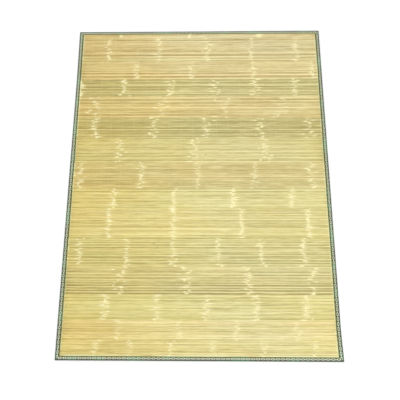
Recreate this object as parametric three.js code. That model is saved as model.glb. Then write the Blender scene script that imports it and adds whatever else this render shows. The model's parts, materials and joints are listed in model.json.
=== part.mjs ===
// Bamboo floor mat. Split-bamboo slats lie side by side, in the order in which they left each culm,
// and a woven tape is folded over all four edges with mitred corners.
// Millimetres, +Z up. X runs along the slats and Y across them. The mat lies on z = 0, centred on the origin.
import * as THREE from 'three';

// Driving dimensions
const matWidth = 1200;
const matLength = 1640;

const slatThickness = 2.4;
const slatEase = 0.4; // width of the eased edge on each side of a slat
const grooveAbove = 0.9; // depth of the groove between two slats, on the upper face
const grooveBelow = 0.7; // and on the lower face

const tapeReach = 19; // how far each leg of the folded tape covers the mat
const tapeThickness = 1;
const foldRadius = 2.2; // outside of the fold

const clearance = 0.3; // between pieces that lie against each other
const slatEndRoom = 0.5; // from the slat ends to the fold of the tape
const liftReach = 60; // where the slats leave the floor, to pass over the lower leg of the tape

// One row for each culm, from the far end (+Y) to the near end: the slats it was split into, and its tone
const culms = [
  { slats: 6, tone: 'honey' },
  { slats: 23, tone: 'honey' },
  { slats: 17, tone: 'honey' },
  { slats: 16, tone: 'olive' },
  { slats: 20, tone: 'honey' },
  { slats: 18, tone: 'olive' },
  { slats: 21, tone: 'straw' },
  { slats: 22, tone: 'straw' },
  { slats: 16, tone: 'pale' },
  { slats: 24, tone: 'pale' },
  { slats: 22, tone: 'straw' },
  { slats: 21, tone: 'olive' },
  { slats: 19, tone: 'pale' },
  { slats: 14, tone: 'pale' },
  { slats: 14, tone: 'pale' },
];

const toneColours = { honey: 0xdcc68e, olive: 0xcdbd80, straw: 0xd9c98a, pale: 0xe4d698 };
const tapeColour = 0x6f7f5c;

// Sizes that follow from these
const halfWidth = matWidth / 2;
const halfLength = matLength / 2;
const slatEnd = tapeThickness + slatEndRoom; // distance of the slat ends from the edge of the mat
const slatCount = culms.reduce((sum, culm) => sum + culm.slats, 0);
const slatPitch = (matLength - 2 * slatEnd) / slatCount;
const liftOverTape = tapeThickness + clearance;

const bambooMaterials = Object.fromEntries(
  Object.entries(toneColours).map(([tone, color]) => [
    tone,
    new THREE.MeshStandardMaterial({ color, roughness: 0.55, metalness: 0 }),
  ]),
);
const tapeMaterial = new THREE.MeshStandardMaterial({ color: tapeColour, roughness: 0.9, metalness: 0 });

// Rise of the slats towards an edge, as a share of the height that clears the tape's lower leg:
// zero inside, one where the leg begins, and in a straight line from there to the slat ends.
function riseAt(fromEdge) {
  return Math.max(0, liftReach - fromEdge) / (liftReach - tapeReach);
}

// Height of the slats' lower face above the floor. The end slats lie level on the leg below them.
function liftOver(x, y) {
  const endRise = Math.min(1, riseAt(halfLength - Math.abs(y)));
  const sideRise = riseAt(halfWidth - Math.abs(x));
  return liftOverTape * (endRise + (1 - endRise) * sideRise);
}

// Section across the slats of one culm: flat faces with eased edges, joined at the grooves.
function culmSection(slats) {
  const nearSide = clearance / 2;
  const farSide = slats * slatPitch - clearance / 2;
  const lowEdge = grooveBelow;
  const highEdge = slatThickness - grooveAbove;
  const points = [new THREE.Vector2(nearSide, highEdge), new THREE.Vector2(nearSide, lowEdge)];
  for (let i = 0; i < slats; i++) {
    if (i > 0) points.push(new THREE.Vector2(i * slatPitch, lowEdge));
    points.push(new THREE.Vector2(i * slatPitch + slatEase, 0));
    points.push(new THREE.Vector2((i + 1) * slatPitch - slatEase, 0));
  }
  points.push(new THREE.Vector2(farSide, lowEdge), new THREE.Vector2(farSide, highEdge));
  for (let i = slats - 1; i >= 0; i--) {
    points.push(new THREE.Vector2((i + 1) * slatPitch - slatEase, slatThickness));
    points.push(new THREE.Vector2(i * slatPitch + slatEase, slatThickness));
    if (i > 0) points.push(new THREE.Vector2(i * slatPitch, highEdge));
  }
  return new THREE.Shape(points);
}

// The slats of one culm, from their near side, swept along X through four stations:
// both ends, and both places where the slats leave the floor.
function culmGeometry(slats, nearY) {
  const endX = halfWidth - slatEnd;
  const liftX = halfWidth - liftReach;
  const stations = [-endX, -liftX, liftX, endX];
  const steps = stations.length - 1;
  const sweep = { depth: steps, steps, bevelEnabled: false };
  const geometry = new THREE.ExtrudeGeometry(culmSection(slats), sweep);
  const position = geometry.attributes.position;
  for (let i = 0; i < position.count; i++) {
    const x = stations[Math.round(position.getZ(i))];
    const y = nearY + position.getX(i);
    position.setXYZ(i, x, y, position.getY(i) + liftOver(x, y));
  }
  geometry.computeVertexNormals();
  return geometry;
}

// Section of the folded tape: x is the distance in from the edge of the mat, y the height.
// The upper leg lies on the slats, the lower leg on the floor.
function tapeSection() {
  const underLeg = tapeThickness;
  const slatTopAt = (fromEdge) => liftOverTape * riseAt(fromEdge) + slatThickness + clearance;
  const topAt = (fromEdge) => slatTopAt(fromEdge) + tapeThickness;
  const section = new THREE.Shape();
  section.moveTo(tapeReach, 0);
  section.lineTo(tapeReach, underLeg);
  section.lineTo(tapeThickness, underLeg);
  section.lineTo(tapeThickness, slatTopAt(tapeThickness));
  section.lineTo(tapeReach, slatTopAt(tapeReach));
  section.lineTo(tapeReach, topAt(tapeReach));
  section.lineTo(foldRadius, topAt(foldRadius));
  section.quadraticCurveTo(0, topAt(0), 0, topAt(0) - foldRadius);
  section.lineTo(0, foldRadius);
  section.quadraticCurveTo(0, 0, foldRadius, 0);
  section.closePath();
  return section;
}

// A tape along an edge of the given half length. Its ends are cut at 45 degrees, so it is shorter
// the further a point lies in from the edge. The edge runs along X and the mat lies towards +Y.
function tapeGeometry(halfEdge) {
  const sweep = { depth: 1, steps: 1, curveSegments: 4, bevelEnabled: false };
  const geometry = new THREE.ExtrudeGeometry(tapeSection(), sweep);
  const position = geometry.attributes.position;
  for (let i = 0; i < position.count; i++) {
    const fromEdge = position.getX(i);
    const side = position.getZ(i) > 0.5 ? 1 : -1;
    position.setXYZ(i, side * (halfEdge - fromEdge - clearance), fromEdge, position.getY(i));
  }
  geometry.computeVertexNormals();
  return geometry;
}

function addTape(group, name, halfEdge, edgeDistance, turn) {
  const tape = new THREE.Mesh(tapeGeometry(halfEdge), tapeMaterial);
  tape.name = name;
  tape.position.y = -edgeDistance;
  const edge = new THREE.Group();
  edge.rotation.z = turn;
  edge.add(tape);
  group.add(edge);
}

const mat = new THREE.Group();
mat.name = 'bamboo_mat';

let nearY = halfLength - slatEnd;
culms.forEach((culm, index) => {
  nearY -= culm.slats * slatPitch;
  const run = new THREE.Mesh(culmGeometry(culm.slats, nearY), bambooMaterials[culm.tone]);
  run.name = `culm_${String(index + 1).padStart(2, '0')}`;
  mat.add(run);
});

addTape(mat, 'tape_near', halfWidth, halfLength, 0);
addTape(mat, 'tape_right', halfLength, halfWidth, Math.PI / 2);
addTape(mat, 'tape_far', halfWidth, halfLength, Math.PI);
addTape(mat, 'tape_left', halfLength, halfWidth, -Math.PI / 2);

export default mat;
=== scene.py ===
import json
import math
import random
import bmesh
import bpy
from mathutils import Matrix, Vector, noise


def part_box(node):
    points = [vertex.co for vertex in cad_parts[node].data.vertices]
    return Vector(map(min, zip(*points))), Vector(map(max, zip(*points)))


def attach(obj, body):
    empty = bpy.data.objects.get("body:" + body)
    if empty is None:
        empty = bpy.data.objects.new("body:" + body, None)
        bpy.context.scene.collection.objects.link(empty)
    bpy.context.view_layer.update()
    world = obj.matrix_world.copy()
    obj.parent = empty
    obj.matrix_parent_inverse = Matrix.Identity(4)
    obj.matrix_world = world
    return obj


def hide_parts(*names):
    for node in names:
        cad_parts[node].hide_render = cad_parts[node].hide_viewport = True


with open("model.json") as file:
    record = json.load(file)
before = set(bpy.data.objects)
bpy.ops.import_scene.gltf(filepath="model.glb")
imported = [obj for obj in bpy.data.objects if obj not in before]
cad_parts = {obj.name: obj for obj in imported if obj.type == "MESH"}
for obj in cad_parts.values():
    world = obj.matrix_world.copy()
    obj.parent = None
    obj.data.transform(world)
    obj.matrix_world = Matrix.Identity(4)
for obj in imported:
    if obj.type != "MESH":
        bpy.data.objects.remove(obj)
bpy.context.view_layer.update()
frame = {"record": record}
mm = 0.001
rng = random.Random(11)

# the mat's own sizes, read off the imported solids
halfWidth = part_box("tape_right")[1].x
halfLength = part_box("tape_far")[1].y
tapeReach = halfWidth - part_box("tape_right")[0].x
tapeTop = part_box("tape_near")[1].z
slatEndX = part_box("culm_08")[1].x


# camera, at the photograph's angle

photoView = {
    "place": (0.0203, -1.2694, 2.9011),
    "turn": -4.036,  # degrees from +Y, towards +X
    "dip": 68.039,  # degrees below the horizon
    "roll": -3.741,
    "lens": 61.81,  # on a 36 mm sensor
    "shift": (0.0375, 0.0032),  # the mat stands a little off the middle of the lens
}


def aimCamera():
    turn, dip, roll = (math.radians(photoView[key]) for key in ("turn", "dip", "roll"))
    ahead = Vector((math.sin(turn) * math.cos(dip), math.cos(turn) * math.cos(dip), -math.sin(dip)))
    level = Vector((math.cos(turn), -math.sin(turn), 0))
    upright = level.cross(ahead)
    side = math.cos(roll) * level + math.sin(roll) * upright
    top = math.cos(roll) * upright - math.sin(roll) * level
    camera = bpy.data.objects.new("camera", bpy.data.cameras.new("camera"))
    camera.data.lens = photoView["lens"]
    camera.data.shift_x, camera.data.shift_y = photoView["shift"]
    aim = Matrix((side, top, -ahead)).transposed().to_4x4()
    camera.matrix_world = Matrix.Translation(photoView["place"]) @ aim
    bpy.context.collection.objects.link(camera)
    bpy.context.scene.camera = camera


aimCamera()
print("camera set")


# small helpers for meshes

def keepPiece(name, bm, material):
    mesh = bpy.data.meshes.new(name)
    bm.to_mesh(mesh)
    bm.free()
    mesh.materials.append(material)
    piece = bpy.data.objects.new(name, mesh)
    bpy.context.collection.objects.link(piece)
    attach(piece, "root")
    return piece


# each path is a row of (x, y, z, share of the radius)
def threadPiece(name, paths, radius, roundness, material):
    curve = bpy.data.curves.new(name, "CURVE")
    curve.dimensions = "3D"
    curve.bevel_depth = radius
    curve.bevel_resolution = roundness
    curve.use_fill_caps = True
    for path in paths:
        spline = curve.splines.new("POLY")
        spline.points.add(len(path) - 1)
        for point, (x, y, z, share) in zip(spline.points, path):
            point.co = (x, y, z, 1)
            point.radius = share
    tube = bpy.data.objects.new(name, curve)
    bpy.context.collection.objects.link(tube)
    mesh = bpy.data.meshes.new_from_object(tube.evaluated_get(bpy.context.evaluated_depsgraph_get()))
    bpy.data.objects.remove(tube)
    bm = bmesh.new()
    bm.from_mesh(mesh)
    bpy.data.meshes.remove(mesh)
    for face in bm.faces:
        face.smooth = True
    return keepPiece(name, bm, material)


# small helpers for node trees

def linear(red, green, blue):  # screen colour, 0 to 255, as the shader takes it
    steps = [c / 255 for c in (red, green, blue)]
    return tuple(s / 12.92 if s < 0.04 else ((s + 0.055) / 1.055) ** 2.4 for s in steps) + (1,)


def newMaterial(name):
    material = bpy.data.materials.new(name)
    material.use_nodes = True
    return material, material.node_tree, material.node_tree.nodes["Principled BSDF"]


def addNode(tree, kind, inputs, **settings):
    node = tree.nodes.new(kind)
    for key, value in settings.items():
        setattr(node, key, value)
    for key, value in inputs.items():
        if isinstance(value, bpy.types.NodeSocket):
            tree.links.new(value, node.inputs[key])
        else:
            node.inputs[key].default_value = value
    return node


def sums(tree, operation, *values):
    node = addNode(tree, "ShaderNodeMath", dict(enumerate(values)), operation=operation)
    return node.outputs[0]


def blend(tree, factor, below, above, mode="MIX"):
    inputs = {0: factor, 6: below, 7: above}
    return addNode(tree, "ShaderNodeMix", inputs, data_type="RGBA", blend_type=mode).outputs[2]


def tint(tree, mask, weight, below, colour):  # lay a screen colour over what is there
    return blend(tree, sums(tree, "MULTIPLY", mask, weight), below, linear(*colour))


def fade(tree, value, start, end):  # 0 at start, 1 at end, eased
    inputs = {"Value": value, "From Min": start, "From Max": end}
    return addNode(tree, "ShaderNodeMapRange", inputs, interpolation_type="SMOOTHSTEP").outputs[0]


def wash(tree, value, look, below):  # a tint that comes in from the look's start to its end
    mask = fade(tree, value, look["start"], look["end"])
    return tint(tree, mask, look["weight"], below, look["colour"])


def ramp(tree, value, stops):
    node = addNode(tree, "ShaderNodeValToRGB", {0: value})
    marks = node.color_ramp.elements
    while len(marks) < len(stops):
        marks.new(0.5)
    for mark, (place, colour) in zip(marks, stops):
        mark.position = place
        mark.color = colour
    return node.outputs[0]


def attribute(tree, name):
    return addNode(tree, "ShaderNodeAttribute", {}, attribute_name=name).outputs["Fac"]


def ownPlace(tree):
    return addNode(tree, "ShaderNodeTexCoord", {}).outputs["Object"]


def parts(tree, vector):  # x, y and z
    return addNode(tree, "ShaderNodeSeparateXYZ", {0: vector}).outputs


def stretch(tree, place, scale):
    return addNode(tree, "ShaderNodeMapping", {"Vector": place, "Scale": scale}).outputs[0]


def cloud(tree, place, scale, detail, roughness=0.5):
    inputs = {"Vector": place, "Scale": scale, "Detail": detail, "Roughness": roughness}
    return addNode(tree, "ShaderNodeTexNoise", inputs).outputs["Fac"]


def raiseRelief(tree, shader, height, strength, depth):
    inputs = {"Height": height, "Strength": strength, "Distance": depth}
    tree.links.new(addNode(tree, "ShaderNodeBump", inputs).outputs[0], shader.inputs["Normal"])


# slats of split bamboo, one piece for each culm

slat = {
    "pitch": 6 * mm,
    "thickness": 1.95 * mm,
    "thicknessSpread": 0.04,
    "bed": 0.5 * mm,  # the threads lie below the slats
    "crown": 0.24 * mm,  # the skin keeps the round of the culm
    "crownCut": 0.42,  # share of the half width where the skin is cut for its round
    "shoulder": 0.4 * mm,
    "widthSpread": 0.16,
    "wander": 0.3 * mm,  # how far a joint strays from straight
    "wanderPace": 2.1,  # to a metre
    "gapLeast": 0.06 * mm,  # half of a closed joint
    "gapMost": 0.7 * mm,
    "gapPace": 6.0,
    "gapOpen": (-0.5, 0.22),  # how ready a joint is to open
    "gapSwing": 1.1,  # how far that changes along the joint
    "heel": 0.85,  # share of the opening that the slats fill at their underside
    "ridge": 0.32 * mm,  # what the plane left of a node
    "nodeStops": ((-3.5 * mm, 0.6), (0, 1), (3.5 * mm, 0.6)),
    "nodeReach": 9 * mm,
    "nodeRoom": 1.3,  # reaches from a slat's end to its first node, at least
    "between": 4,  # stretches from one node to the next
    "tilt": 1.4,  # degrees
    "toneSpread": 0.19,
    "contrast": 0.72,  # share by which a slat differs from the one before
    "internodeSpread": 0.05,  # from one internode of a slat to the next
    "culmSpread": 0.03,  # from one internode of a whole culm to the next
    "patchSpread": 0.12,  # some internodes are darker or paler on a few slats together
    "patchPace": 0.3,  # to a slat
    "twoTone": 1.0,  # one side of a slat is darker than the other
    "twoToneFrom": (0, -350 * mm),  # more so towards the near end
    "layers": ("tone", "warmth", "nodeAway", "mark", "seed", "edge", "inner"),
}

planed = {  # how the planed nodes differ from slat to slat
    "leanPace": 0.13,  # of a row of nodes, to a slat
    "swing": 0.5,  # share by which a node stands back from the one before
    "missed": 0.12,  # share of nodes that hardly show
    "missedStrength": 0.3,
    "strength": (0.6, 1.95),
    "size": (0.6, 1.25),
    "tailed": 0.36,  # share of sides with a long tail
    "tail": 2.1,
}

lanes = {  # keep the noises of the slats apart from each other
    "wander": (5.37, 1.7),
    "gap": (3.91, 8.2),
    "lean": (3.7, 0.11),
    "patch": (5.3, 0.17),
    "twoTone": (7.31, 4.4, 0.9),
}

lift = {"height": 1.3 * mm, "reach": 60 * mm}  # the slats climb over the lower leg of the tape

# nodes: places along X, in mm. tone: from the far side of the culm to its near side, 0 dark to 1 pale.
culms = {
    "culm_01": {"nodes": (-397, -47, 298), "tone": (0.56, 0.56)},
    "culm_02": {"nodes": (-447, -197, 40, 260, 480), "tone": (0.52, 0.44, 0.62)},
    "culm_03": {"nodes": (-310, -34, 264, 553), "tone": (0.62, 0.4)},
    "culm_04": {"nodes": (-577, -362, -140, 73, 273, 465), "tone": (0.33, 0.42)},
    "culm_05": {"nodes": (-492, -172, 118, 393), "tone": (0.45, 0.45)},
    "culm_06": {"nodes": (-492, -217, 38, 290, 523), "tone": (0.42, 0.27)},
    "culm_07": {"nodes": (-372, -22, 313), "tone": (0.5, 0.5)},
    "culm_08": {"nodes": (-547, -267, -2, 260, 518), "tone": (0.42, 0.44, 0.41)},
    "culm_09": {"nodes": (-387, -112, 158, 423), "tone": (0.42, 0.5)},
    "culm_10": {"nodes": (-407, -114, 193, 493), "tone": (0.42, 0.52)},
    "culm_11": {"nodes": (-527, -320, -114, 86, 278, 463), "tone": (0.38, 0.5, 0.3)},
    "culm_12": {"nodes": (-337, -57, 218, 493), "tone": (0.74, 0.7, 0.36, 0.52)},
    "culm_13": {"nodes": (-402, -180, 36, 250, 463), "tone": (0.5, 0.5)},
    "culm_14": {"nodes": (-342, -82, 163, 418), "tone": (0.55, 0.63, 0.55)},
    "culm_15": {"nodes": (-432, -287, -120, 63, 273, 488), "tone": (0.5, 0.5)},
}

# streaks: how far its slats differ in tone. warmth: from -1, greenish, to 1, tan.
# mark: how white the nodes show. drift: how far a row of nodes leans, in mm.
# zigzag: how far neighbours stand apart, in mm.
culmHabits = {
    "culm_01": {"streaks": 0.6, "warmth": 0.0, "mark": 1.2, "drift": 4, "zigzag": 5},
    "culm_02": {"streaks": 1.25, "warmth": -0.4, "mark": 0.66, "drift": 5, "zigzag": 7},
    "culm_03": {"streaks": 1.45, "warmth": 0.4, "mark": 0.6, "drift": 7, "zigzag": 6.5},
    "culm_04": {"streaks": 1.25, "warmth": -0.3, "mark": 0.87, "drift": 5, "zigzag": 9},
    "culm_05": {"streaks": 1.4, "warmth": 0.4, "mark": 0.5, "drift": 22, "zigzag": 15},
    "culm_06": {"streaks": 0.9, "warmth": -0.4, "mark": 0.75, "drift": 9, "zigzag": 11},
    "culm_07": {"streaks": 0.9, "warmth": -0.2, "mark": 0.7, "drift": 6, "zigzag": 12},
    "culm_08": {"streaks": 0.6, "warmth": 0.9, "mark": 0.52, "drift": 6, "zigzag": 8},
    "culm_09": {"streaks": 0.9, "warmth": -0.3, "mark": 1.0, "drift": 8, "zigzag": 4},
    "culm_10": {"streaks": 1.0, "warmth": 0.0, "mark": 0.85, "drift": 6, "zigzag": 4.5},
    "culm_11": {"streaks": 0.95, "warmth": -0.7, "mark": 0.66, "drift": 5, "zigzag": 6},
    "culm_12": {"streaks": 1.3, "warmth": 0.1, "mark": 0.74, "drift": 8, "zigzag": 11},
    "culm_13": {"streaks": 0.75, "warmth": -0.5, "mark": 1.0, "drift": 6, "zigzag": 7},
    "culm_14": {"streaks": 0.9, "warmth": 0.75, "mark": 0.5, "drift": 7, "zigzag": 5.5},
    "culm_15": {"streaks": 0.9, "warmth": 0.3, "mark": 0.48, "drift": 5, "zigzag": 7},
}

edges = []  # the joint lines between slats, from the far end
slats = []  # (joint line on the far side, height of the skin), for the threads


def riseAt(fromEdge):
    return max(0, lift["reach"] - fromEdge) / (lift["reach"] - tapeReach)


def liftOver(x, y):
    endRise = min(1, riseAt(halfLength - abs(y)))
    return lift["height"] * (endRise + (1 - endRise) * riseAt(halfWidth - abs(x)))


def between(values, share):  # on straight lines through evenly spaced values
    spot = share * (len(values) - 1)
    start = min(int(spot), len(values) - 2)
    return values[start] + (values[start + 1] - values[start]) * (spot - start)


def jointAt(index, x):  # middle and half opening of a joint line
    line = edges[index]
    lane, level = lanes["wander"]
    middle = line["y"] + line["wander"] * noise.noise((x * slat["wanderPace"], index * lane, level))
    lane, level = lanes["gap"]
    opening = line["open"] + slat["gapSwing"] * noise.noise((x * slat["gapPace"], index * lane, level))
    return middle, slat["gapLeast"] + slat["gapMost"] * max(0, min(1, opening))


def layEdges():
    for name in culms:
        low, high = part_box(name)
        count = round((high.y - low.y) / slat["pitch"])
        widths = [1 + rng.uniform(-1, 1) * slat["widthSpread"] for i in range(count)]
        scale = (high.y - low.y) / sum(widths)
        y = high.y
        culms[name].update(culmHabits[name], first=len(edges), count=count, draws={}, lastDraw=0)
        for i, width in enumerate(widths):
            stray = 0 if i == 0 else slat["wander"]  # a culm keeps to its own bed
            edges.append({"y": y, "wander": stray, "open": rng.uniform(*slat["gapOpen"])})
            y -= width * scale
    edges.append({"y": y, "wander": 0, "open": -1})


def slatBlank(stationCount):  # one slat, 1 long, with a loop for each station
    bm = bmesh.new()
    bmesh.ops.create_cube(bm, size=1)
    bmesh.ops.scale(bm, vec=(1, slat["pitch"], slat["thickness"]), verts=bm.verts)
    for side, segments in ((1, 2), (-1, 1)):  # round shoulders above, a small bevel below
        lengthwise = [e for e in bm.edges if abs(e.verts[0].co.x - e.verts[1].co.x) > 0.5]
        chosen = [e for e in lengthwise if e.verts[0].co.z * side > 0]
        bmesh.ops.bevel(bm, geom=chosen, offset=slat["shoulder"], segments=segments, profile=0.5,
                        affect="EDGES", material=-1)
    for side in (-1, 1):
        skin = [f for f in bm.faces if f.normal.z > 0.99]
        skin += list({e for f in skin for e in f.edges}) + list({v for f in skin for v in f.verts})
        place = (0, side * slat["crownCut"] * slat["pitch"] / 2, 0)
        bmesh.ops.bisect_plane(bm, geom=skin, plane_co=place, plane_no=(0, 1, 0))
    for k in range(1, stationCount - 1):
        whole = bm.verts[:] + bm.edges[:] + bm.faces[:]
        place = (k / (stationCount - 1) - 0.5, 0, 0)
        bmesh.ops.bisect_plane(bm, geom=whole, plane_co=place, plane_no=(1, 0, 0))
    for face in bm.faces:
        face.smooth = abs(face.normal.x) < 0.5  # all but the two ends
    blank = bpy.data.meshes.new("slatBlank")
    bm.to_mesh(blank)
    bm.free()
    return blank


def pickNodes(row, i):
    limit = slatEndX - slat["nodeReach"] * slat["nodeRoom"]
    lane, level = lanes["lean"]
    nodes = []
    for n, place in enumerate(row["nodes"]):
        lean = row["drift"] * noise.noise((i * planed["leanPace"], n * lane, row["first"] * level))
        draw = rng.gauss(0, 1)
        swing = draw - planed["swing"] * row["draws"].get(n, 0)
        row["draws"][n] = draw
        x = (place + lean + swing * row["zigzag"]) * mm
        missed = rng.random() < planed["missed"]
        strength = planed["missedStrength"] if missed else rng.uniform(*planed["strength"])
        sizes = [rng.uniform(*planed["size"]) for side in range(2)]
        sizes = [size * (planed["tail"] if rng.random() < planed["tailed"] else 1) for size in sizes]
        nodes.append({"x": max(-limit, min(limit, x)), "strength": row["mark"] * strength, "sizes": sizes})
    return nodes


def pickTones(row, i, shared):  # one for each internode of the slat
    draw = rng.gauss(0, slat["toneSpread"]) * row["streaks"]
    ownTone = between(row["tone"], i / max(1, row["count"] - 1)) + draw - slat["contrast"] * row["lastDraw"]
    row["lastDraw"] = draw
    lane, level = lanes["patch"]
    tones = []
    for n, change in enumerate(shared):
        patch = slat["patchSpread"] * noise.noise((i * slat["patchPace"], n * lane, row["first"] * level))
        stray = patch + rng.gauss(0, slat["internodeSpread"])
        tones.append(ownTone + change + stray * row["streaks"])
    return tones


def pickTwoTone(index):
    start, end = slat["twoToneFrom"]
    nearShare = max(0, min(1, (edges[index]["y"] - start) / (end - start)))
    lane, level, depth = lanes["twoTone"]
    return slat["twoTone"] * nearShare * noise.noise((index * lane, level, depth))


def slatStations(nodes):  # along X: place, share of the ridge, the internodes that meet there
    reach, stretches = slat["nodeReach"], slat["between"]
    stops = [-slatEndX - reach] + [node["x"] for node in nodes] + [slatEndX + reach]
    rows = []
    for j, (start, end) in enumerate(zip(stops, stops[1:])):
        first, last = start + reach, end - reach
        rows += [(first + (last - first) * k / stretches, 0, (j, j)) for k in range(stretches + 1)]
        if j < len(nodes):
            rows += [(end + away, height, (j, j + 1)) for away, height in slat["nodeStops"]]
    return rows


def fillStations(index, nodes, tones):  # what the slat is like at each of its stations
    rows = []
    for x, ridge, meeting in slatStations(nodes):
        node = min(nodes, key=lambda n: abs(n["x"] - x))
        away = abs(x - node["x"]) / node["sizes"][x > node["x"]]
        joints = jointAt(index + 1, x), jointAt(index, x)  # on the near side and on the far side
        tone = (tones[meeting[0]] + tones[meeting[1]]) / 2
        rows.append((x, joints, ridge * slat["ridge"], tone, away, node["strength"]))
    return rows


def laySlats(name, material):
    row = culms[name]
    stationCount = len(slatStations(pickNodes(row, 0)))
    blank = slatBlank(stationCount)
    shared = [rng.gauss(0, slat["culmSpread"]) for n in range(len(row["nodes"]) + 1)]
    bm = bmesh.new()
    layers = {key: bm.verts.layers.float.new(key) for key in slat["layers"]}
    for i in range(row["count"]):
        index = row["first"] + i
        nodes = pickNodes(row, i)
        tones = pickTones(row, i, shared)
        seed = rng.uniform(0, 1)
        tilt = math.tan(math.radians(rng.uniform(-1, 1) * slat["tilt"]))
        height = slat["thickness"] * (1 + rng.uniform(-1, 1) * slat["thicknessSpread"])
        slats.append((index, height))
        twoTone = pickTwoTone(index)
        stations = fillStations(index, nodes, tones)
        firstVertex = len(bm.verts)
        bm.from_mesh(blank)
        bm.verts.ensure_lookup_table()
        for v in bm.verts[firstVertex:]:
            x, joints, ridge, tone, away, strength = stations[round((v.co.x + 0.5) * (stationCount - 1))]
            across = v.co.y / (slat["pitch"] / 2)
            upper = v.co.z / slat["thickness"] + 0.5  # 0 under, 1 at the skin
            gapShare = 1 - slat["heel"] * (1 - upper)
            near, far = joints[0][0] + joints[0][1] * gapShare, joints[1][0] - joints[1][1] * gapShare
            half = (far - near) / 2
            y = near + half * (1 + across)
            skin = height + ridge - slat["crown"] * across * across + tilt * across * half
            v.co = (x, y, slat["bed"] + upper * skin + liftOver(x, y))
            v[layers["tone"]] = tone + twoTone * across
            v[layers["warmth"]] = (1 + row["warmth"]) / 2
            v[layers["nodeAway"]] = away
            v[layers["mark"]] = strength
            v[layers["seed"]] = seed
            v[layers["edge"]] = abs(across)
            v[layers["inner"]] = 1 - upper
    piece = keepPiece(name.replace("culm", "slats"), bm, material)
    bpy.data.meshes.remove(blank)
    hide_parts(name)
    return piece


# bamboo, from dark to light in each tone

bambooLooks = {
    "bamboo_honey": {"dark": (179, 154, 86), "mid": (215, 197, 128), "light": (240, 225, 160)},
    "bamboo_olive": {"dark": (162, 147, 80), "mid": (199, 187, 120), "light": (227, 216, 152)},
    "bamboo_straw": {"dark": (173, 157, 86), "mid": (209, 196, 126), "light": (235, 224, 158)},
    "bamboo_pale": {"dark": (188, 173, 97), "mid": (220, 207, 134), "light": (242, 232, 167)},
}

# streaks to a metre, along and across a slat, and how far each kind moves the tone
bambooGrain = {
    "line": {"along": 1.8, "across": 480, "detail": 1.0, "shift": 0.0, "weight": 1.5},
    "dash": {"along": 21, "across": 480, "detail": 1.0, "shift": 0.0, "weight": 1.25},
    "fibre": {"along": 6, "across": 1300, "detail": 3.0, "shift": 0.0, "weight": 0.35},
    "slow": {"along": 2.4, "across": 45, "detail": 2.0, "shift": 0.0, "weight": 0.15},
}

# streaks that lie over the tone
bambooStreaks = {
    "halo": {"along": 7, "across": 520, "detail": 2.0, "shift": 0.0},
    "gapShadowAndResidue": {"along": 6, "across": 400, "detail": 1.0, "shift": 5.0},
    "glintStreak": {"along": 7, "across": 400, "detail": 1.0, "shift": 3.0},
    "frayed": {"along": 7, "across": 400, "detail": 1.0, "shift": 7.0},
}

bambooTints = {
    "green": {"colour": (198, 196, 122), "start": 0.7, "end": 1.0, "weight": 0.2},  # on some slats
    "tan": {"colour": (226, 198, 142), "start": 0.3, "end": 0.0, "weight": 0.2},  # on some others
    "edge": {"colour": (238, 224, 164), "start": 0.6, "end": 0.88, "weight": 0.25},
    # painted shade in the joints, dark along each slat's edge
    "jointShade": {"colour": (132, 112, 50), "start": 0.92, "end": 1.0, "weight": 0.5},
    "gapShadowAndResidue": {"colour": (150, 130, 64), "start": 0.36, "end": 0.27, "weight": 0.7},  # thin and dark: painted shadow of the gaps, and residue of the skin
    "glintStreak": {"colour": (250, 238, 178), "start": 0.62, "end": 0.72, "weight": 0.75},  # thin and pale: painted highlights
}

# how the colour changes over the whole mat
bambooHues = {
    "golden": (0.965, 0.91, 0.745, 1),  # the -X side is deeper in colour
    "goldenFar": (0.885, 0.82, 0.65, 1),  # most of all at its far end
    "goldenFarFrom": (150 * mm, 520 * mm),
    "cool": (0.98, 1.0, 1.08, 1),  # painted sheen: right of the middle it is a little cooler
    "sheenAt": 250 * mm,
    "sheenReach": 470 * mm,
    "faded": (1.0, 1.005, 1.2, 1),  # the far end has less colour
    "fadedReach": 340 * mm,
    "warmPatch": (1.012, 0.992, 0.95, 1),  # slow changes of hue
    "coolPatch": (0.988, 1.006, 1.03, 1),
    "patchPace": (2.6, 6.0, 0),  # to a metre
    "patchDetail": 1.0,
    "patchFade": (0.36, 0.64),
    "greener": (0.98, 1.018, 1.0, 1),  # a culm with a warmth of -1
    "warmer": (1.02, 0.982, 1.0, 1),  # and with 1
}

bambooSkin = {
    "seedStride": 61.0,  # how far apart the grain of two slats lies in the noise
    "grainRoughness": 0.6,
    "mark": (255, 248, 196),  # pale wood where the node was planed
    "markWeight": 0.92,
    "markHalf": 3.4 * mm,
    "markCore": 0.5,  # share of it that is quite pale
    "markHalo": 15 * mm,
    "haloWeight": 0.27,
    "markFeather": 28 * mm,
    "scar": (188, 160, 98),  # the line of the node itself
    "scarWeight": 0.6,
    "scarHalf": 0.5 * mm,
    "scarCore": 0.4,
    "speck": (104, 84, 46),  # a few dark spots on the whole mat
    "speckWeight": 0.8,
    "speckPace": 60.0,  # to a metre
    "speckRare": 0.997,
    "speckFade": (0.18, 0.11),
    "rim": 9 * mm,  # pale border along the tape: paler slat ends, and painted light over the tape's contact shadow
    "rimColour": (242, 248, 198),
    "rimWeight": 0.75,
    "rimFrayed": (0.4, 0.58),
    "inner": (224, 207, 158),  # the culm's inside, on the underside
    "innerFade": (0.55, 0.9),
    "roughness": 0.38,
    "roughGrain": 0.25,
    "roughMark": 0.12,
    "grainRelief": 0.5,
    "grainDepth": 0.12 * mm,
}


def grain(tree, place, seed, row):  # streaks along the slat, different on each one
    lane = sums(tree, "MULTIPLY", sums(tree, "ADD", seed, row["shift"]), bambooSkin["seedStride"])
    shift = addNode(tree, "ShaderNodeCombineXYZ", {2: lane}).outputs[0]
    stretched = stretch(tree, place, (row["along"], row["across"], 0))
    moved = addNode(tree, "ShaderNodeVectorMath", {0: stretched, 1: shift}, operation="ADD").outputs[0]
    return cloud(tree, moved, 1.0, row["detail"], bambooSkin["grainRoughness"])


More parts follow.
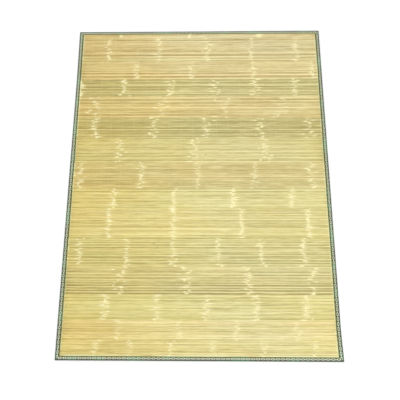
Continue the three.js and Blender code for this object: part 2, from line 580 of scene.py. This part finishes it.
def nodeMarks(tree, place, seed):  # a white core on the node with a streaky halo round it, and the scar
    fromNode, strength = attribute(tree, "nodeAway"), attribute(tree, "mark")
    patch = sums(tree, "SUBTRACT", grain(tree, place, seed, bambooStreaks["halo"]), 0.5)
    away = sums(tree, "MULTIPLY_ADD", patch, -bambooSkin["markFeather"], fromNode)
    markHalf, scarHalf = bambooSkin["markHalf"], bambooSkin["scarHalf"]
    core = fade(tree, away, markHalf, markHalf * bambooSkin["markCore"])
    halo = fade(tree, away, bambooSkin["markHalo"], markHalf)
    halo = sums(tree, "MULTIPLY", halo, bambooSkin["haloWeight"])
    mark = sums(tree, "MULTIPLY", sums(tree, "MAXIMUM", core, halo), strength)
    scar = fade(tree, fromNode, scarHalf, scarHalf * bambooSkin["scarCore"])
    return sums(tree, "MINIMUM", mark, 1.0), sums(tree, "MULTIPLY", scar, strength)


def specks(tree, place):
    cells = addNode(tree, "ShaderNodeTexVoronoi", {"Vector": place, "Scale": bambooSkin["speckPace"]})
    draw = addNode(tree, "ShaderNodeSeparateColor", {0: cells.outputs["Color"]}).outputs[0]
    rare = sums(tree, "GREATER_THAN", draw, bambooSkin["speckRare"])
    return sums(tree, "MULTIPLY", rare, fade(tree, cells.outputs["Distance"], *bambooSkin["speckFade"]))


def rimMask(tree, place, seed):  # close to the tape, and patchy: paler slat ends and painted light over the tape's contact shadow
    x, y, z = parts(tree, place)
    toSide = sums(tree, "ADD", sums(tree, "ABSOLUTE", x), tapeReach - halfWidth)
    toNear = sums(tree, "SUBTRACT", tapeReach - halfLength, y)
    rim = fade(tree, sums(tree, "MAXIMUM", toSide, toNear), -bambooSkin["rim"], 0.0)
    frayed = grain(tree, place, seed, bambooStreaks["frayed"])
    return sums(tree, "MULTIPLY", rim, fade(tree, frayed, *bambooSkin["rimFrayed"]))


def matHue(tree, place, colour):
    x, y, z = parts(tree, place)
    farPart = fade(tree, y, *bambooHues["goldenFarFrom"])
    golden = blend(tree, farPart, bambooHues["golden"], bambooHues["goldenFar"])
    colour = blend(tree, fade(tree, x, 0.0, -halfWidth), colour, golden, "MULTIPLY")
    # painted sheen, a cooler tint right of the middle
    fromSheen = sums(tree, "ABSOLUTE", sums(tree, "SUBTRACT", x, bambooHues["sheenAt"]))
    sheenShare = fade(tree, fromSheen, bambooHues["sheenReach"], 0.0)
    colour = blend(tree, sheenShare, colour, bambooHues["cool"], "MULTIPLY")
    farShare = fade(tree, y, halfLength - bambooHues["fadedReach"], halfLength)
    colour = blend(tree, farShare, colour, bambooHues["faded"], "MULTIPLY")
    patch = cloud(tree, stretch(tree, place, bambooHues["patchPace"]), 1.0, bambooHues["patchDetail"])
    patchShare = fade(tree, patch, *bambooHues["patchFade"])
    patchHue = blend(tree, patchShare, bambooHues["warmPatch"], bambooHues["coolPatch"])
    colour = blend(tree, 1.0, colour, patchHue, "MULTIPLY")
    culmHue = blend(tree, attribute(tree, "warmth"), bambooHues["greener"], bambooHues["warmer"])
    return blend(tree, 1.0, colour, culmHue, "MULTIPLY")


def bambooMaterial(name):
    look = bambooLooks[name]
    material, tree, shader = newMaterial(name)
    place = ownPlace(tree)
    seed = attribute(tree, "seed")
    value = attribute(tree, "tone")
    streaks = {}
    for kind, row in bambooGrain.items():
        streaks[kind] = grain(tree, place, seed, row)
        value = sums(tree, "MULTIPLY_ADD", streaks[kind], row["weight"], value)
    value = sums(tree, "SUBTRACT", value, sum(row["weight"] for row in bambooGrain.values()) / 2)
    stops = ((0.0, linear(*look["dark"])), (0.5, linear(*look["mid"])), (1.0, linear(*look["light"])))
    colour = ramp(tree, value, stops)
    side = attribute(tree, "edge")
    # random green and tan slats, pale edges, and painted shade in the joints
    for kind, mask in (("green", seed), ("tan", seed), ("edge", side), ("jointShade", side)):
        colour = wash(tree, mask, bambooTints[kind], colour)
    # thin dark streaks of painted gap shadow and skin residue, and thin pale streaks of painted highlight
    for kind in ("gapShadowAndResidue", "glintStreak"):
        colour = wash(tree, grain(tree, place, seed, bambooStreaks[kind]), bambooTints[kind], colour)
    colour = matHue(tree, place, colour)
    # pale rim: paler slat ends, and painted light over the tape's contact shadow
    colour = tint(tree, rimMask(tree, place, seed), bambooSkin["rimWeight"], colour, bambooSkin["rimColour"])
    mark, scar = nodeMarks(tree, place, seed)
    for kind, mask in (("mark", mark), ("scar", scar), ("speck", specks(tree, place))):
        colour = tint(tree, mask, bambooSkin[kind + "Weight"], colour, bambooSkin[kind])
    under = fade(tree, attribute(tree, "inner"), *bambooSkin["innerFade"])
    paleWood = blend(tree, streaks["fibre"], linear(*look["dark"]), linear(*bambooSkin["inner"]))
    tree.links.new(blend(tree, under, colour, paleWood), shader.inputs["Base Color"])
    dull = sums(tree, "MULTIPLY_ADD", streaks["fibre"], bambooSkin["roughGrain"], bambooSkin["roughness"])
    dull = sums(tree, "MULTIPLY_ADD", mark, bambooSkin["roughMark"], dull)
    tree.links.new(dull, shader.inputs["Roughness"])
    raiseRelief(tree, shader, streaks["fibre"], bambooSkin["grainRelief"], bambooSkin["grainDepth"])
    return material


slotOf = {part["node"]: part["material_slot"] for part in frame["record"]["subparts"]}
bamboo = {name: bambooMaterial(name) for name in bambooLooks}
layEdges()
slatPieces = [laySlats(name, bamboo[slotOf[name]]) for name in culms]
print("slats laid:", len(slats))


# cotton thread, for the warp and for the stitches

cotton = {
    "slant": 40,  # degrees, of the twist
    "unevenness": 1.5,
    "shade": 0.82,  # share of the colour between the plies
    "relief": 0.4,
    "depth": 0.08 * mm,
    "roughness": 0.85,
    "sheen": 0.2,
}


def threadMaterial(name, colour, twist):
    material, tree, shader = newMaterial(name)
    slant = (0, 0, math.radians(cotton["slant"]))
    turned = addNode(tree, "ShaderNodeMapping", {"Vector": ownPlace(tree), "Rotation": slant}).outputs[0]
    inputs = {"Vector": turned, "Scale": twist, "Distortion": cotton["unevenness"]}
    ply = addNode(tree, "ShaderNodeTexWave", inputs).outputs["Fac"]
    shade = tuple(c * cotton["shade"] for c in colour)
    tree.links.new(blend(tree, ply, linear(*shade), linear(*colour)), shader.inputs["Base Color"])
    raiseRelief(tree, shader, ply, cotton["relief"], cotton["depth"])
    shader.inputs["Roughness"].default_value = cotton["roughness"]
    shader.inputs["Sheen Weight"].default_value = cotton["sheen"]
    return material


# warp threads, in pairs that cross between the slats

warp = {
    "count": 20,
    "pitch": 56 * mm,
    "stray": 1 * mm,
    "radius": 0.5 * mm,
    "roundness": 0,
    "squeeze": 0.35,  # share of the radius between two slats
    "pressed": 0.55,  # and below them
    "seat": 0.6,  # share of the radius from a slat to the middle of the thread
    "crownShare": 0.4,  # how far the thread sinks below the top of the crown
    "bends": (0.2, 0.8),  # shares of a slat's width where the thread turns
    "apart": 0.3 * mm,  # how far the two threads of a pair lie from their line
    "colour": (238, 225, 172),
    "twist": 900.0,
}


def warpPath(x, strand):
    stop = halfLength - tapeReach - warp["radius"]
    seat = warp["radius"] * warp["seat"]
    points = []
    for index, height in slats:
        farY, nearY = jointAt(index, x)[0], jointAt(index + 1, x)[0]
        if farY > stop or nearY < -stop:
            continue
        over = (index + strand) % 2 == 0
        side = 1 if over else -1
        skin = slat["bed"] + height - slat["crown"] * warp["crownShare"]
        z, thick = (skin + seat, 1) if over else (seat, warp["pressed"])
        for share in warp["bends"]:
            y = farY + (nearY - farY) * share
            points.append((x + side * warp["apart"] * (share - 0.5), y, z + liftOver(x, y), thick))
        points.append((x, nearY, slat["bed"] + height / 2 + liftOver(x, nearY), warp["squeeze"]))
    return points[:-1]


def layWarp(name, lines, material):
    paths = []
    for line in lines:
        x = (line - (warp["count"] - 1) / 2) * warp["pitch"] + rng.uniform(-1, 1) * warp["stray"]
        paths += [warpPath(x, strand) for strand in (0, 1)]
    return threadPiece(name, paths, warp["radius"], warp["roundness"], material)


warpCotton = threadMaterial("warp_cotton", warp["colour"], warp["twist"])
halfCount = warp["count"] // 2
layWarp("warp_left", range(halfCount), warpCotton)
layWarp("warp_right", range(halfCount, warp["count"]), warpCotton)
print("warp threads run:", warp["count"])


# edge tape, a woven ribbon folded over the slat ends

tape = {
    "thickness": 0.8 * mm,
    "reach": {"near": 18 * mm, "right": 19 * mm, "far": 16.6 * mm, "left": 19 * mm},  # of the upper leg
    "headroom": 0.05 * mm,  # below the solid's top
    "hover": 0.12 * mm,  # room for the stitches below
    "step": 4 * mm,  # between loops along the tape
    "foldRadius": 2.1 * mm,
    "foldSteps": 5,
    "legSteps": 5,
    "ripple": 0.1 * mm,  # the slat ends show through
    "ripplePace": (120, 60, 7),
    "waver": 0.45 * mm,  # the inner edge isn't quite straight
    "waverPace": (9, 3, 5),
    "cornerDip": 0.35 * mm,
    "cornerReach": 4 * mm,
    "mitreGap": 0.12 * mm,
    "bulgeWidth": 60 * mm,
    "bulgePower": 1.2,
}

tapeBulges = (  # at two corners the tape stands out along X
    {"toX": 1, "toY": -1, "out": 4.2 * mm, "reach": 140 * mm},
    {"toX": -1, "toY": 1, "out": 3 * mm, "reach": 280 * mm},
)


# the ribbon's middle line, from the upper leg round to the lower: (in from the edge, height)
def tapeProfile(side):
    half = tape["thickness"] / 2
    slope = lift["height"] * (riseAt(0) - riseAt(tapeReach)) / tapeReach
    topZ = tapeTop - half - tape["headroom"]
    lowZ = half + tape["hover"]
    radius = tape["foldRadius"] - half
    start = half + radius
    shares = [k / tape["legSteps"] for k in range(1, tape["legSteps"] + 1)]
    upper = [start + (tape["reach"][side] - half - start) * share for share in shares]
    lower = [start + (tapeReach - half - start) * share for share in shares]
    turns = [math.radians(90 * k / tape["foldSteps"]) for k in range(tape["foldSteps"] + 1)]
    upperZ = topZ - slope * start - radius
    points = [(d, topZ - slope * d) for d in reversed(upper)]
    points += [(start - radius * math.sin(turn), upperZ + radius * math.cos(turn)) for turn in turns]
    points += [(start - radius * math.cos(turn), lowZ + radius - radius * math.sin(turn)) for turn in turns]
    return points + [(d, lowZ) for d in lower]


def standOut(place):
    for bulge in tapeBulges:
        inX = max(0, 1 - (halfWidth - bulge["toX"] * place.x) / tape["bulgeWidth"])
        inY = max(0, 1 - (halfLength - bulge["toY"] * place.y) / bulge["reach"])
        place.x += bulge["toX"] * bulge["out"] * min(1, inX) * min(1, inY) ** tape["bulgePower"]
    return place


def ribbonStrip(profile, ways, foldAt, halfEdge):  # from -1 to 1 along X, unwrapped to its flat size
    count = round(2 * halfEdge / tape["step"])
    bm = bmesh.new()
    flat = bm.loops.layers.uv.new("flat")
    wayLayer = bm.verts.layers.float.new("way")  # along the ribbon's width, from the fold
    row = []
    for (d, z), way in zip(profile, ways):
        row.append(bm.verts.new((-1, d, z)))
        row[-1][wayLayer] = foldAt - way
    edgeRow = [bm.edges.new(pair) for pair in zip(row, row[1:])]
    for k in range(count):
        made = bmesh.ops.extrude_edge_only(bm, edges=edgeRow)["geom"]
        edgeRow = [g for g in made if isinstance(g, bmesh.types.BMEdge)]
        bmesh.ops.translate(bm, vec=(2 / count, 0, 0), verts=list({v for e in edgeRow for v in e.verts}))
    for face in bm.faces:
        face.smooth = True
        for loop in face.loops:
            along, d, z = loop.vert.co
            loop[flat].uv = (along * (halfEdge - d), loop.vert[wayLayer])
    return bm, wayLayer


def foldTape(side, halfEdge, edgeDistance, turn, material):
    profile = tapeProfile(side)
    ways = [0]
    for (d0, z0), (d1, z1) in zip(profile, profile[1:]):
        ways.append(ways[-1] + math.hypot(d1 - d0, z1 - z0))
    foldAt = ways[tape["legSteps"]]
    bm, wayLayer = ribbonStrip(profile, ways, foldAt, halfEdge)
    waverAlong, waverTurn, waverAway = tape["waverPace"]
    rippleAlong, rippleIn, rippleTurn = tape["ripplePace"]
    for v in bm.verts:
        along, d, z = v.co
        mitred = along * (halfEdge - d - tape["mitreGap"])
        toCorner = (halfEdge - d) - abs(mitred)
        upper = max(0, v[wayLayer]) / foldAt
        wave = noise.noise((mitred * waverAlong, turn * waverTurn, edgeDistance * waverAway))
        d += tape["waver"] * wave * (d / tapeReach) ** 2
        z += upper * tape["ripple"] * noise.noise((mitred * rippleAlong, d * rippleIn, turn * rippleTurn))
        z -= upper * tape["cornerDip"] * max(0, 1 - toCorner / tape["cornerReach"])
        v.co = (mitred, d - edgeDistance, z)
    bmesh.ops.rotate(bm, cent=(0, 0, 0), matrix=Matrix.Rotation(turn, 3, "Z"), verts=bm.verts)
    for v in bm.verts:
        v.co = standOut(v.co)
    piece = keepPiece("ribbon_" + side, bm, material)
    cloth = piece.modifiers.new("cloth", "SOLIDIFY")
    cloth.thickness = tape["thickness"]
    cloth.offset = 0
    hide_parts("tape_" + side)
    return piece


# weave of the tape, dark with a pale chain along its upper leg

tapeChain = {
    "repeat": 20.7 * mm,
    "middle": 7.3 * mm,  # from the fold
    "power": 1.6,  # 1 for a lozenge, 2 for an ellipse
    "ring": {"half": (8.6 * mm, 4.3 * mm), "fade": (1.06, 0.94)},  # half length and half height
    "eye": {"half": (4.8 * mm, 2.9 * mm), "fade": (0.9, 1.1)},
    "link": {"half": (2.2 * mm, 0.7 * mm), "fade": (1.1, 0.9)},
}

tapeWeave = {
    "inner": (92, 96, 40),  # border beside the bamboo
    "outer": (80, 86, 72),  # border on the fold
    "borderFade": 2 * mm,
    "worn": {"colour": (84, 130, 92), "start": 0.45, "end": 0.62, "weight": 0.75},
    "wornPace": 9.0,  # to a metre
    "shade": (52, 56, 34),  # between the yarns
    "shadeWeight": 0.45,
    "pale": (246, 249, 222),
    "dullerPale": (228, 232, 200),  # duller pale yarn everywhere but at the near end
    "dullerFrom": (1, 4),  # reaches of the tape from the near end
    "paleShade": (176, 184, 160),
    "paleShadeWeight": 0.3,
    "yarnPace": 420.0,
    "yarnWeight": 0.2,
    "noiseDetail": 2.0,
    "rib": 0.75 * mm,
    "pick": 0.6 * mm,
    "chainRaised": 0.8,
    "relief": 0.6,
    "depth": 0.15 * mm,
    "roughness": 0.82,
    "sheen": 0.15,
}


def chainPattern(tree, along, across):  # rings with a dark eye, joined by thin links
    fromChain = sums(tree, "ABSOLUTE", sums(tree, "SUBTRACT", across, tapeChain["middle"]))
    power = tapeChain["power"]
    masks = {}
    for kind, shift in (("ring", 0.0), ("eye", 0.0), ("link", tapeChain["repeat"] / 2)):
        halfLong, halfHigh = tapeChain[kind]["half"]
        fromMiddle = sums(tree, "PINGPONG", sums(tree, "ADD", along, shift), tapeChain["repeat"] / 2)
        inLength = sums(tree, "POWER", sums(tree, "DIVIDE", fromMiddle, halfLong), power)
        inHeight = sums(tree, "POWER", sums(tree, "DIVIDE", fromChain, halfHigh), power)
        away = sums(tree, "POWER", sums(tree, "ADD", inLength, inHeight), 1 / power)  # 1 on the outline
        masks[kind] = fade(tree, away, *tapeChain[kind]["fade"])
    return sums(tree, "MAXIMUM", sums(tree, "MULTIPLY", masks["ring"], masks["eye"]), masks["link"])


def tapeMaterial():
    material, tree, shader = newMaterial("woven_tape")
    flat = addNode(tree, "ShaderNodeUVMap", {}, uv_map="flat").outputs[0]
    along, across, none = parts(tree, flat)
    chain = chainPattern(tree, along, across)
    ribs = sums(tree, "SINE", sums(tree, "MULTIPLY", along, 2 * math.pi / tapeWeave["rib"]))
    picks = sums(tree, "SINE", sums(tree, "MULTIPLY", across, 2 * math.pi / tapeWeave["pick"]))
    weave = sums(tree, "MULTIPLY_ADD", sums(tree, "MULTIPLY", ribs, picks), 0.5, 0.5)
    hollow = sums(tree, "SUBTRACT", 1.0, weave)
    yarn = cloud(tree, flat, tapeWeave["yarnPace"], tapeWeave["noiseDetail"])
    wear = cloud(tree, flat, tapeWeave["wornPace"], tapeWeave["noiseDetail"])
    middle, soft = tapeChain["middle"], tapeWeave["borderFade"]
    outer = fade(tree, across, middle + soft, middle - soft)
    ground = blend(tree, outer, linear(*tapeWeave["inner"]), linear(*tapeWeave["outer"]))
    ground = wash(tree, wear, tapeWeave["worn"], ground)
    ground = tint(tree, hollow, tapeWeave["shadeWeight"], ground, tapeWeave["shade"])
    fromNear = sums(tree, "ADD", parts(tree, ownPlace(tree))[1], halfLength)
    dullerShare = fade(tree, fromNear, *[share * tapeReach for share in tapeWeave["dullerFrom"]])
    light = blend(tree, dullerShare, linear(*tapeWeave["pale"]), linear(*tapeWeave["dullerPale"]))
    light = tint(tree, hollow, tapeWeave["paleShadeWeight"], light, tapeWeave["paleShade"])
    colour = blend(tree, chain, ground, light)
    colour = blend(tree, tapeWeave["yarnWeight"], colour, yarn, "OVERLAY")
    tree.links.new(colour, shader.inputs["Base Color"])
    height = sums(tree, "MULTIPLY_ADD", chain, tapeWeave["chainRaised"], weave)
    raiseRelief(tree, shader, height, tapeWeave["relief"], tapeWeave["depth"])
    shader.inputs["Roughness"].default_value = tapeWeave["roughness"]
    shader.inputs["Sheen Weight"].default_value = tapeWeave["sheen"]
    return material


wovenTape = tapeMaterial()
tapeSides = (  # name, half the edge, distance of the edge from the middle, turn
    ("near", halfWidth, halfLength, 0),
    ("right", halfLength, halfWidth, math.pi / 2),
    ("far", halfWidth, halfLength, math.pi),
    ("left", halfLength, halfWidth, -math.pi / 2),
)
tapePieces = [foldTape(*row, wovenTape) for row in tapeSides]
print("edge tape folded:", len(tapePieces))


# stitches that hold the tape down

stitch = {
    "length": 3.1 * mm,
    "pitch": 4.2 * mm,
    "radius": 0.22 * mm,
    "roundness": 1,
    "tip": 0.4,  # share of the radius at the ends
    "flat": 0.5,  # share of the length that lies level
    "dip": 0.3 * mm,  # the ends go into the tape
    "seat": 0.3,  # share of the radius from the tape to the middle of the thread
    "skew": 0.15 * mm,
    "inset": 2.2 * mm,  # from the tape's inner edge
    "colour": (98, 106, 70),
    "twist": 700.0,
}


def sewTape(material):
    half = stitch["length"] / 2
    level = half * stitch["flat"]
    dip, tip = stitch["dip"], stitch["tip"]
    shape = ((-half, dip, tip), (-level, 0, 1), (level, 0, 1), (half, dip, tip))
    paths = []
    for side, halfEdge, away, turn in tapeSides:
        (endD, endZ), (nextD, nextZ) = tapeProfile(side)[:2]
        d = tape["reach"][side] - stitch["inset"]
        slope = (endZ - nextZ) / (endD - nextD)
        upperZ = endZ + slope * (d - endD) + tape["thickness"] / 2 + stitch["radius"] * stitch["seat"]
        run = halfEdge - tapeReach
        count = round(2 * run / stitch["pitch"])
        spin = Matrix.Rotation(turn, 3, "Z")
        for k in range(count + 1):
            along = -run + 2 * run * k / count
            skew = rng.uniform(-1, 1) * stitch["skew"]
            for z, inward in ((upperZ, -1), (stitch["radius"], 1)):
                path = []
                for s, sink, share in shape:
                    place = spin @ Vector((along + s, d - away + skew * s / half, z + inward * sink))
                    path.append((*standOut(place), share))
                paths.append(path)
    return threadPiece("tape_stitches", paths, stitch["radius"], stitch["roundness"], material)


sewTape(threadMaterial("tape_thread", stitch["colour"], stitch["twist"]))
print("tape sewn")


# pale floor and soft light

studio = {
    "floor": (250, 250, 249),
    "floorSize": 30,
    "floorCells": 8,
    "floorRoughness": 0.9,
    "sky": 0.595,
    "key": {"place": (1.7, -2.0, 3.4), "size": 2.6, "power": 78},
    "fill": {"place": (-2.4, 1.2, 3.0), "size": 3.0, "power": 42},
    "gloss": {"place": (0.3, 2.2, 3.2), "size": 1.6, "power": 16},  # a soft shine on the middle
}


def layFloor():
    bm = bmesh.new()
    cells = studio["floorCells"]
    bmesh.ops.create_grid(bm, x_segments=cells, y_segments=cells, size=studio["floorSize"] / 2)
    mesh = bpy.data.meshes.new("floor")
    bm.to_mesh(mesh)
    bm.free()
    material, tree, shader = newMaterial("pale_floor")
    shader.inputs["Base Color"].default_value = linear(*studio["floor"])
    shader.inputs["Roughness"].default_value = studio["floorRoughness"]
    mesh.materials.append(material)
    floor = bpy.data.objects.new("floor", mesh)
    bpy.context.collection.objects.link(floor)


def hangLight(name):
    look = studio[name]
    lamp = bpy.data.lights.new(name, "AREA")
    lamp.size = look["size"]
    lamp.energy = look["power"]
    light = bpy.data.objects.new(name, lamp)
    light.location = look["place"]
    light.rotation_euler = (-Vector(look["place"])).to_track_quat("-Z", "Y").to_euler()
    bpy.context.collection.objects.link(light)


def lightStudio():
    world = bpy.data.worlds.new("studio")
    world.use_nodes = True
    background = world.node_tree.nodes["Background"]
    background.inputs["Strength"].default_value = studio["sky"]
    background.inputs["Color"].default_value = (1, 1, 1, 1)
    bpy.context.scene.world = world
    bpy.context.scene.view_settings.view_transform = "Standard"
    for name in ("key", "fill", "gloss"):
        hangLight(name)


layFloor()
lightStudio()
print("studio lit")
